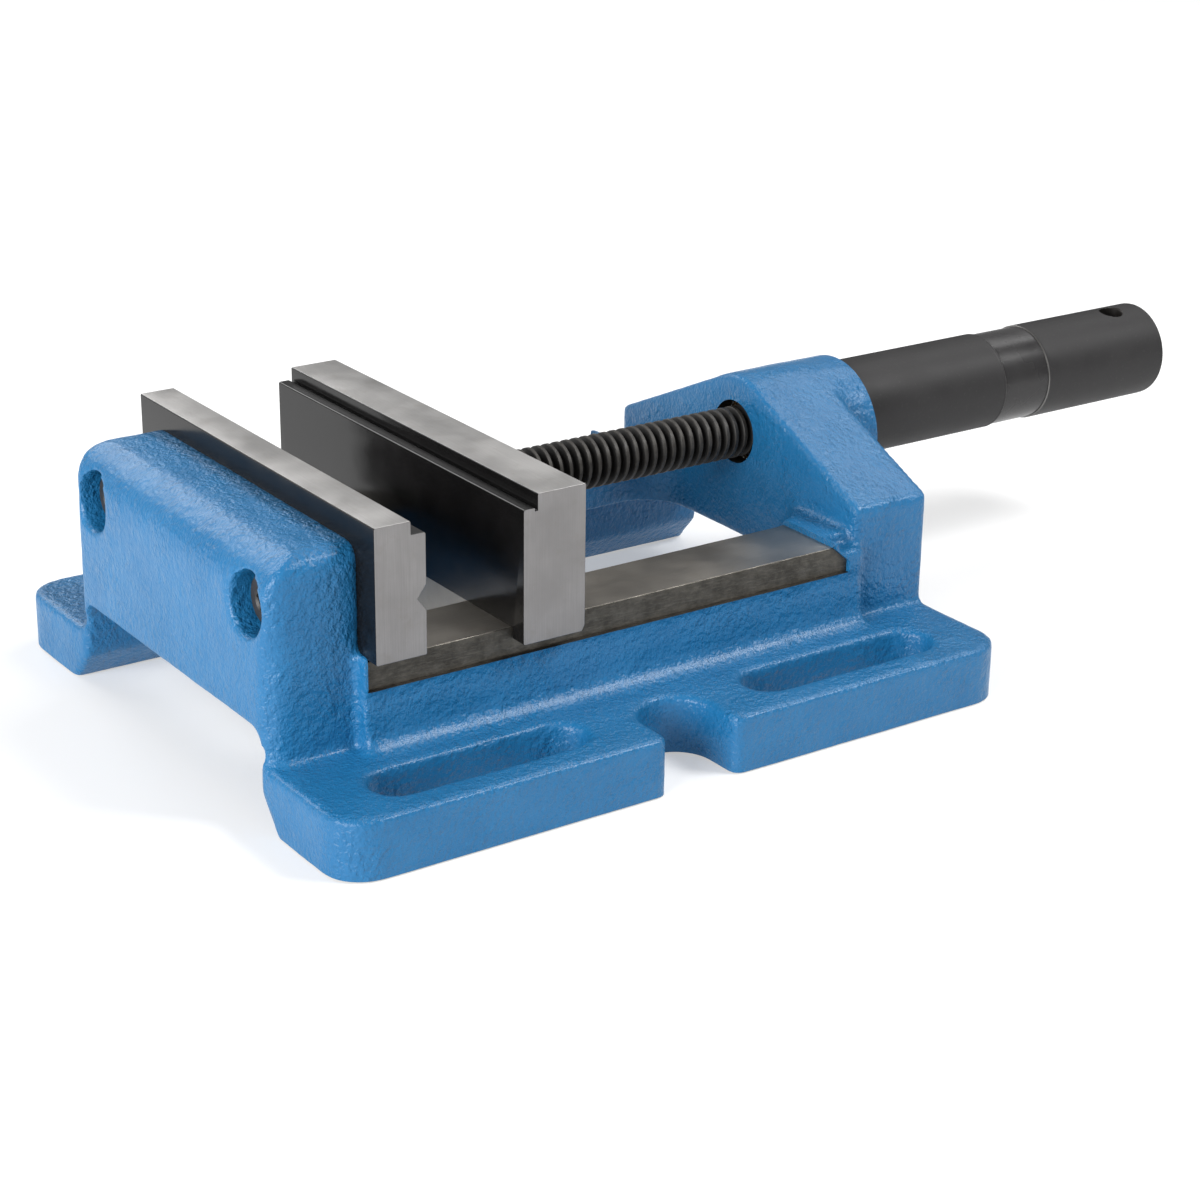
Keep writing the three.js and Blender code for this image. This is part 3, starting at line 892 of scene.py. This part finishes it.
def set_screw(low, high, materials):
    """The socket set screw that holds the gland ring, standing upright in the boss."""
    middle = (low + high) / 2
    place = upright(middle.x, middle.y)
    screw = rod(place, low.z, high.z, (high.x - low.x) / 2, chamfer=0.5, sides=48)
    hexagon = rod(place, low.z - 1, low.z + 2.5, 1.7, sides=6)
    add_slots(screw, materials)
    cut(screw, hexagon)
    name = "ring_lock_screw"
    return finished(screw, name + "_detail", "base", materials, replaces=name)


# ---- screw and handle ----
LEAD = 3
HANDED = -1
SPIGOT_RADIUS = 6


def lead_screw(materials):
    """A trapezoidal screw: one ridge swept along a helix onto a core, trimmed by the screw's outline."""
    start, end = JAW_HIGH.x + 0.3, SCREW_HIGH.x
    root = SCREW_RADIUS - LEAD / 2 - 0.25
    crest_half, flank = 0.18 * LEAD, math.tan(math.radians(15))
    foot_half = crest_half + (SCREW_RADIUS - root) * flank
    section = [
        (-foot_half - 0.05, root - 0.2),
        (-crest_half - 0.05, SCREW_RADIUS - 0.18),
        (-crest_half + 0.12, SCREW_RADIUS),
        (crest_half - 0.12, SCREW_RADIUS),
        (crest_half + 0.05, SCREW_RADIUS - 0.18),
        (foot_half + 0.05, root - 0.2),
    ]
    steps = 72
    first, last = start - 2 * LEAD, end + 2 * LEAD
    count = round((last - first) / LEAD * steps)
    vertices, faces = [], []
    for k in range(count + 1):
        angle = HANDED * 2 * math.pi * k / steps
        for offset, radius in section:
            x = first + LEAD * k / steps + offset
            vertices.append((x, radius * math.cos(angle), AXIS_Z + radius * math.sin(angle)))
    width = len(section)
    for k in range(count):
        for j in range(width):
            following = (j + 1) % width
            low, high = k * width, (k + 1) * width
            faces.append([low + j, low + following, high + following, high + j])
    faces.append(list(range(width)))
    faces.append(list(range(count * width, (count + 1) * width)))
    ridge = mesh_object("ridge", vertices, faces)
    thread = joined(ridge, rod(level(), first + LEAD, last - LEAD, root, sides=72))
    envelope = turned(
        [
            (start, 0),
            (start, root - 0.1),
            (start + 1.2, root - 0.1),
            (start + 2.6, SCREW_RADIUS),
            (end - 1.8, SCREW_RADIUS),
            (end, SCREW_RADIUS - 1.8),
            (end, 0),
        ],
        level(),
        sides=144,
    )
    combine(thread, "INTERSECT", [envelope])
    shank = turned(
        [
            (SCREW_LOW.x, 0),
            (SCREW_LOW.x, SPIGOT_RADIUS - 0.5),
            (SCREW_LOW.x + 0.5, SPIGOT_RADIUS),
            (start - 0.1, SPIGOT_RADIUS),
            (start - 0.1, root - 0.1),
            (start + 1.5, root - 0.1),
            (start + 1.5, 0),
        ],
        level(),
    )
    joined(thread, shank)
    cut(thread, rod(upright(LOCK_PIN_X, 0), AXIS_Z - 12, AXIS_Z + 12, LOCK_PIN_HOLE))
    return finished(thread, "trapezoidal_screw", "jaw", materials, replaces="lead_screw")


GRIP, BORE, BAND, RUBBED = range(4)
NECK_START = 185
NECK_RADIUS = 11.4
NUT_SEAT_RADIUS = 9.8
NUT_SEAT_END = 206.3
SLEEVE_BORE = 8
SLEEVE_BORE_END = 306
GRIP_START = 207.6
BAND_START = 260.3
BAND_END = 276.8
BAND_RADIUS = 13.3
CROSS_HOLE_X = 312
CROSS_HOLE_RADIUS = 3.5
CROSS_HOLE_TURN = 7
KNURL_PITCH = 1.0
KNURL_DEPTH = 0.2
NUT_PIN_HOLE = 2.2


def handle_sleeve(materials):
    """The sleeve, with a diamond knurl on both grips: high and low points alternate like a chessboard."""
    end = HANDLE_HIGH.x
    around = 2 * round(math.pi * HANDLE_RADIUS / KNURL_PITCH)
    profile = [
        (SLEEVE_BORE_END, 0),
        (SLEEVE_BORE_END, SLEEVE_BORE),
        (NUT_SEAT_END, SLEEVE_BORE),
        (NUT_SEAT_END, NUT_SEAT_RADIUS),
        (NECK_START, NUT_SEAT_RADIUS),
        (NECK_START, NECK_RADIUS),
        (GRIP_START, NECK_RADIUS),
    ]
    knurled = set()

    def grip(first, last):
        rows = round((last - first) / (KNURL_PITCH / 2))
        for k in range(rows + 1):
            knurled.add(len(profile))
            profile.append((first + (last - first) * k / rows, HANDLE_RADIUS))

    profile.append((GRIP_START, HANDLE_RADIUS - 0.7))
    grip(GRIP_START + 0.6, BAND_START - 0.6)
    profile.append((BAND_START - 0.3, HANDLE_RADIUS))
    profile.append((BAND_START - 0.02, HANDLE_RADIUS - 0.2))
    profile.append((BAND_START, BAND_RADIUS))
    profile.append((BAND_END, BAND_RADIUS))
    profile.append((BAND_END + 0.02, HANDLE_RADIUS - 0.2))
    profile.append((BAND_END + 0.3, HANDLE_RADIUS))
    grip(BAND_END + 0.7, end - 1.4)
    profile.append((end - 0.9, HANDLE_RADIUS - 0.1))
    profile.append((end, HANDLE_RADIUS - 1))
    profile.append((end, 0))

    def knurl(row, side, radius):
        return radius - (KNURL_DEPTH if row in knurled and (row + side) % 2 else 0)

    sleeve = turned(profile, level(), sides=around, relief=knurl)
    for face in sleeve.data.polygons:
        reach = math.hypot(face.center.y, face.center.z - AXIS_Z)
        if BAND_START < face.center.x < BAND_END and reach > BAND_RADIUS - 0.1:
            face.material_index = BAND
        elif BAND_START - 0.3 < face.center.x < BAND_END + 0.3 and reach > BAND_RADIUS:
            face.material_index = RUBBED
    add_slots(sleeve, materials)
    reach = HANDLE_RADIUS + 2
    flare = [
        (-reach, 0),
        (-reach, CROSS_HOLE_RADIUS + 2.4),
        (-HANDLE_RADIUS + 0.5, CROSS_HOLE_RADIUS),
        (HANDLE_RADIUS - 0.5, CROSS_HOLE_RADIUS),
        (reach, CROSS_HOLE_RADIUS + 2.4),
        (reach, 0),
    ]
    turn = Matrix.Rotation(math.radians(CROSS_HOLE_TURN), 4, "X")
    # The cross hole takes the bores' near-black finish, painted shade for its inside.
    cross_hole = turned(flare, level() @ turn @ upright(CROSS_HOLE_X, 0), finish=BORE)
    pin_hole = rod(upright(NUT_PIN_X, 0), AXIS_Z, AXIS_Z + 20, NUT_PIN_HOLE)
    cut(sleeve, cross_hole, pin_hole)
    return finished(
        sleeve, "handle", "handle", materials,
        replaces="handle_sleeve", sharp=38
    )


def drive_nut(materials):
    """The nut: a collar that bears in the boss, and a barrel that fits in the handle's neck."""
    low, high = span("drive_nut")
    collar, barrel, bore = 13.4, 9.6, 7.4
    profile = [
        (low.x, collar - 0.4),
        (low.x + 0.4, collar),
        (NECK_START - 0.4, collar),
        (NECK_START, collar - 0.4),
        (NECK_START, barrel),
        (high.x - 0.5, barrel),
        (high.x, barrel - 0.5),
        (high.x, bore + 0.8),
        (high.x - 0.8, bore),
        (low.x + 0.8, bore),
        (low.x, bore + 0.8),
    ]
    nut = turned(profile, level(), ring=True)
    cut(nut, rod(upright(NUT_PIN_X, 0), AXIS_Z, AXIS_Z + 20, NUT_PIN_HOLE))
    return finished(nut, "bronze_nut", "handle", materials, replaces="drive_nut")


# ---- materials ----
def painted(name):
    """Blue enamel: glossy, with a fine wrinkle and the sand's grain showing through it."""
    m = Shader(name, Metallic=0.0, IOR=1.4, Coat_Weight=0.12, Coat_Roughness=0.15)
    tone = m.remap(m.noise(14, detail=2), 0.3, 0.7)
    base = m.mix(tone, (0.009, 0.12, 0.282), (0.013, 0.136, 0.31))
    speck = m.remap(m.noise(1.1, detail=2), 0.62, 0.75)
    base = m.mix(m.math("MULTIPLY", speck, 0.3), base, (0.03, 0.19, 0.38))
    patch = m.remap(m.noise(11, detail=1), 0.35, 0.65)
    coarse = m.noise(1.9, detail=2, roughness=0.55)
    fine = m.noise(0.85, (1, 1, 1.25), detail=2, roughness=0.6)
    normal = m.bump(m.math("MULTIPLY", coarse, m.remap(patch, 0, 1, 0.5, 1)), 0.9)
    normal = m.bump(fine, 0.3, normal)
    rough = m.remap(m.noise(3.0), 0.3, 0.7, 0.28, 0.42)
    return m.finish(Base_Color=base, Roughness=rough, Normal=normal)


def shade(tone, factor):
    return tuple(factor * c for c in tone)


def ground(name, tone, rough, lengthwise):
    """Surface-ground steel. lengthwise is the direction that the wheel's marks run in."""
    m = Shader(name, Metallic=1.0)
    stretch = {"x": (60, 1, 1), "y": (1, 60, 1), "z": (1, 1, 60)}[lengthwise]
    marks = m.noise(0.22, stretch, detail=4, roughness=0.65)
    cloud = m.noise(16, detail=3)
    stain = m.remap(m.noise(5.5, detail=4, roughness=0.65), 0.55, 0.75)
    brown = tuple(0.7 * c * warmth for c, warmth in zip(tone, (1, 0.93, 0.84)))
    base = m.mix(m.remap(cloud, 0.3, 0.7), shade(tone, 0.8), shade(tone, 1.12))
    base = m.mix(m.math("MULTIPLY", m.remap(marks, 0.35, 0.7), 0.35), base, shade(tone, 0.75))
    base = m.mix(m.math("MULTIPLY", stain, 0.3), base, brown)
    roughness = m.remap(m.math("ADD", marks, cloud), 0.7, 1.3, rough - 0.06, rough + 0.08)
    return m.finish(Base_Color=base, Roughness=roughness, Normal=m.bump(marks, 0.03))


def milled(name):
    """The rails' outer strips: coarse cutter marks under a brown film of oil."""
    m = Shader(name, Metallic=0.75)
    marks = m.noise(0.5, (7, 1, 1), detail=4, roughness=0.7)
    patch = m.noise(4.5, detail=4, roughness=0.7)
    base = m.mix(m.remap(patch, 0.35, 0.65), (0.055, 0.05, 0.042), (0.1, 0.092, 0.078))
    base = m.mix(m.math("MULTIPLY", m.remap(marks, 0.5, 0.75), 0.5), base, (0.17, 0.158, 0.135))
    rough = m.remap(patch, 0.3, 0.7, 0.5, 0.36)
    normal = m.bump(m.noise(1.3, (2, 1, 1), detail=4, roughness=0.65), 0.12)
    normal = m.bump(marks, 0.05, normal)
    return m.finish(Base_Color=base, Roughness=rough, Normal=normal)


def black_oxide(name, tone=0.004, rough=0.17, grain=0.006):
    """Blackened steel: an even dark skin with faint clouds and hairline wear."""
    m = Shader(name, Metallic=0.0, IOR=1.38)
    cloud = m.noise(9, detail=4, roughness=0.6)
    dust = m.remap(m.noise(0.5, detail=2), 0.7, 0.8)
    base = m.mix(m.remap(cloud, 0.3, 0.7), (tone, tone, tone), (1.7 * tone, 1.6 * tone, 1.6 * tone))
    base = m.mix(m.math("MULTIPLY", dust, 0.15), base, (0.06, 0.056, 0.052))
    roughness = m.remap(cloud, 0.3, 0.7, rough - 0.03, rough + 0.05)
    normal = m.bump(m.noise(0.6, detail=3), grain)
    return m.finish(Base_Color=base, Roughness=roughness, Normal=normal)


def thread_black(name):
    """The screw's black finish, lighter grey along the crests: partly rubbed wear, partly a painted
    highlight.
    """
    m = Shader(name, Metallic=0.2, IOR=1.4)
    split = m.add("SeparateXYZ", {0: m.place})
    height = m.math("SUBTRACT", split.outputs["Z"], float(AXIS_Z))
    squares = m.math("ADD", m.math("POWER", height, 2.0), m.math("POWER", split.outputs["Y"], 2.0))
    reach = m.math("SQRT", squares, 0.0)
    # Crests lighter by radius: partly wear, partly a painted highlight on the crests.
    crest_wear_and_highlight = m.remap(reach, SCREW_RADIUS - 0.35, SCREW_RADIUS - 0.02)
    patch = m.remap(m.noise(2.2, detail=4, roughness=0.7), 0.3, 0.6, 0.25, 1.0)
    base = m.mix(m.math("MULTIPLY", crest_wear_and_highlight, patch), (0.009, 0.0085, 0.008), (0.05, 0.046, 0.041))
    grime = m.remap(m.noise(1.2, detail=3), 0.55, 0.75)
    base = m.mix(m.math("MULTIPLY", grime, 0.35), base, (0.03, 0.023, 0.016))
    normal = m.bump(m.noise(0.4, (1, 4, 4), detail=3), 0.03)
    return m.finish(Base_Color=base, Roughness=m.remap(patch, 0.25, 1.0, 0.42, 0.55), Normal=normal)


def handle_black(name, rough=0.5):
    """The handle's matt black: dull, a little brown, with dust caught in the knurl."""
    m = Shader(name, Metallic=0.0, IOR=1.35)
    cloud = m.noise(12, detail=3)
    dust = m.remap(m.noise(0.9, detail=3), 0.6, 0.8)
    base = m.mix(m.remap(cloud, 0.3, 0.7), (0.021, 0.0202, 0.0208), (0.027, 0.026, 0.0265))
    base = m.mix(m.math("MULTIPLY", dust, 0.2), base, (0.09, 0.085, 0.078))
    normal = m.bump(m.noise(0.35, detail=2), 0.015)
    return m.finish(Base_Color=base, Roughness=m.remap(cloud, 0.3, 0.7, rough, rough + 0.1), Normal=normal)


def plain_metal(name, tone, rough, metallic=1.0):
    """Turned metal with fine tool marks round it."""
    m = Shader(name, Metallic=metallic)
    marks = m.noise(0.25, (1, 20, 20), detail=3)
    cloud = m.noise(6, detail=3)
    base = m.mix(m.remap(cloud, 0.3, 0.7), shade(tone, 0.8), tone)
    roughness = m.remap(marks, 0.3, 0.7, rough - 0.05, rough + 0.08)
    return m.finish(Base_Color=base, Roughness=roughness, Normal=m.bump(marks, 0.01))


paint = painted("blue_enamel")
way_iron = ground("ground_way", (0.36, 0.335, 0.3), 0.36, "x")
strip_iron = milled("milled_strip")
bare_iron = plain_metal("bare_iron", (0.42, 0.4, 0.36), 0.34)
# The bores' near-black metal is painted shade for the inside of the holes.
shaded_bore = plain_metal("bore_painted_shade", (0.02, 0.018, 0.016), 0.5, 0.5)
jaw_steel = ground("ground_steel", (0.54, 0.53, 0.52), 0.46, "y")
# The jaw ends' steel is a darker copy of the jaw steel: painted shade on the end faces.
jaw_end_steel_shaded = ground("ground_steel_end_shaded", (0.29, 0.282, 0.28), 0.46, "z")
jaw_black = black_oxide("jaw_black_oxide")
screw_black = thread_black("screw_black")
sleeve_black = handle_black("handle_black")
band_black = handle_black("handle_band", 0.22)
worn_edge = plain_metal("worn_edge", (0.2, 0.195, 0.19), 0.4)
fastener_black = black_oxide("fastener_black", 0.02, 0.4, 0.03)
bright = plain_metal("bright_steel", (0.55, 0.54, 0.52), 0.28)
nut_bronze = plain_metal("turned_bronze", (0.5, 0.31, 0.12), 0.3)

# ---- the pieces ----
vise_body([paint, way_iron, strip_iron, shaded_bore, bare_iron])
fixed_jaw_plate([jaw_steel, jaw_black, jaw_end_steel_shaded])
moving_jaw([jaw_steel, jaw_black, jaw_end_steel_shaded])
guide_block([way_iron])
keeper_plate([fastener_black])
lead_screw([screw_black])
handle_sleeve([sleeve_black, shaded_bore, band_black, worn_edge])
drive_nut([nut_bronze])

for label, side in (("near", -1), ("far", 1)):
    place = level(side * PLATE_SCREW_OFFSET)
    low, high = span(f"fixed_jaw_screw_{label}")
    cap_screw(place, low.x, high.x, [fastener_black], f"fixed_jaw_screw_{label}", "base")
    low, high = span(f"fixed_jaw_washer_{label}")
    ring(low.x, high.x, 6.8, 4.2, 0.3, [bright], f"fixed_jaw_washer_{label}", ("base", place))
    low, high = span(f"keeper_screw_{label}")
    middle = (low + high) / 2
    cap_screw(upright(middle.x, middle.y), low.z, high.z, [fastener_black], f"keeper_screw_{label}", "jaw")
    low, high = span(f"guide_dowel_{label}")
    middle = (low + high) / 2
    pin(upright(middle.x, middle.y), low.z, high.z, 3, [bright], f"guide_dowel_{label}", "jaw")

low, high = span("screw_lock_pin")
pin(upright(LOCK_PIN_X, 0), low.z, high.z, 2.5, [bright], "screw_lock_pin", "jaw")
low, high = span("drive_nut_pin")
pin(upright(NUT_PIN_X, 0), low.z, high.z, 2, [bright], "drive_nut_pin", "handle")
low, high = span("ring_lock_screw")
set_screw(low, high, [fastener_black])
for name, body, inner in (
    ("front_thrust_washer", "base", BORE_RADIUS),
    ("rear_thrust_washer", "handle", GLAND_BORE),
    ("gland_ring", "base", GLAND_BORE),
):
    low, high = span(name)
    outer = (high.z - low.z) / 2
    ring(low.x, high.x, outer, inner, 0.25, [bright], name, (body, level()))

# ---- floor, light and camera ----
FLOOR_HALF = 6.0
FLOOR_GLOW = 0.4


def light(name, place, target, size, power):
    """A soft rectangular lamp that faces its target."""
    lamp = bpy.data.lights.new(name, "AREA")
    lamp.shape = "RECTANGLE"
    lamp.size, lamp.size_y = size
    lamp.energy = power
    obj = bpy.data.objects.new(name, lamp)
    bpy.context.scene.collection.objects.link(obj)
    obj.location = place
    obj.rotation_euler = (Vector(target) - Vector(place)).to_track_quat("-Z", "Y").to_euler()


def floor():
    mesh = bpy.data.meshes.new("floor")
    corners = [(-1, -1), (1, -1), (1, 1), (-1, 1)]
    mesh.from_pydata([(FLOOR_HALF * x, FLOOR_HALF * y, -0.0004) for x, y in corners], [], [(0, 1, 2, 3)])
    obj = bpy.data.objects.new("floor", mesh)
    bpy.context.scene.collection.objects.link(obj)
    white = bpy.data.materials.new("floor_white")
    white.use_nodes = True
    surface = white.node_tree.nodes["Principled BSDF"]
    surface.inputs["Base Color"].default_value = (0.6, 0.6, 0.6, 1)
    surface.inputs["Roughness"].default_value = 0.9
    surface.inputs["Specular IOR Level"].default_value = 0.1
    surface.inputs["Emission Color"].default_value = (1, 1, 1, 1)
    surface.inputs["Emission Strength"].default_value = FLOOR_GLOW
    mesh.materials.append(white)


def sky(strength):
    world = bpy.data.worlds.new("studio")
    world.use_nodes = True
    background = world.node_tree.nodes["Background"]
    background.inputs["Color"].default_value = (1, 1, 1, 1)
    background.inputs["Strength"].default_value = strength
    bpy.context.scene.world = world


CAMERA_PLACE = Vector((-0.41458, -0.54781, 0.27862))
CAMERA_YAW = 0.96288
CAMERA_PITCH = -0.38001
CAMERA_ROLL = 0.01281
CAMERA_LENS = 79.84


def camera():
    """The camera, aimed by its yaw and pitch and turned about its own axis by its roll."""
    data = bpy.data.cameras.new("camera")
    data.lens = CAMERA_LENS
    data.sensor_width = 36
    obj = bpy.data.objects.new("camera", data)
    bpy.context.scene.collection.objects.link(obj)
    forward = Vector(
        (
            math.cos(CAMERA_PITCH) * math.cos(CAMERA_YAW),
            math.cos(CAMERA_PITCH) * math.sin(CAMERA_YAW),
            math.sin(CAMERA_PITCH),
        )
    )
    right = forward.cross(Vector((0, 0, 1))).normalized()
    up = right.cross(forward)
    tilted_right = math.cos(CAMERA_ROLL) * right + math.sin(CAMERA_ROLL) * up
    tilted_up = math.cos(CAMERA_ROLL) * up - math.sin(CAMERA_ROLL) * right
    turn = Matrix((tilted_right, tilted_up, -forward)).transposed()
    obj.matrix_world = Matrix.Translation(CAMERA_PLACE) @ turn.to_4x4()
    bpy.context.scene.camera = obj


floor()
sky(0.3)
light("key", (-1.4, -0.42, 0.45), (0, 0, 0.03), (0.9, 0.7), 27)
light("top", (0.75, -0.7, 1.25), (0, 0, 0.03), (0.5, 0.5), 18)
light("slope", (0.8, 0.35, 1.2), (0, 0, 0.03), (0.6, 0.6), 5)
light("back", (-0.25, 1.25, 0.85), (0, 0, 0.05), (1.0, 0.6), 9)
camera()
bpy.context.scene.view_settings.view_transform = "Standard"
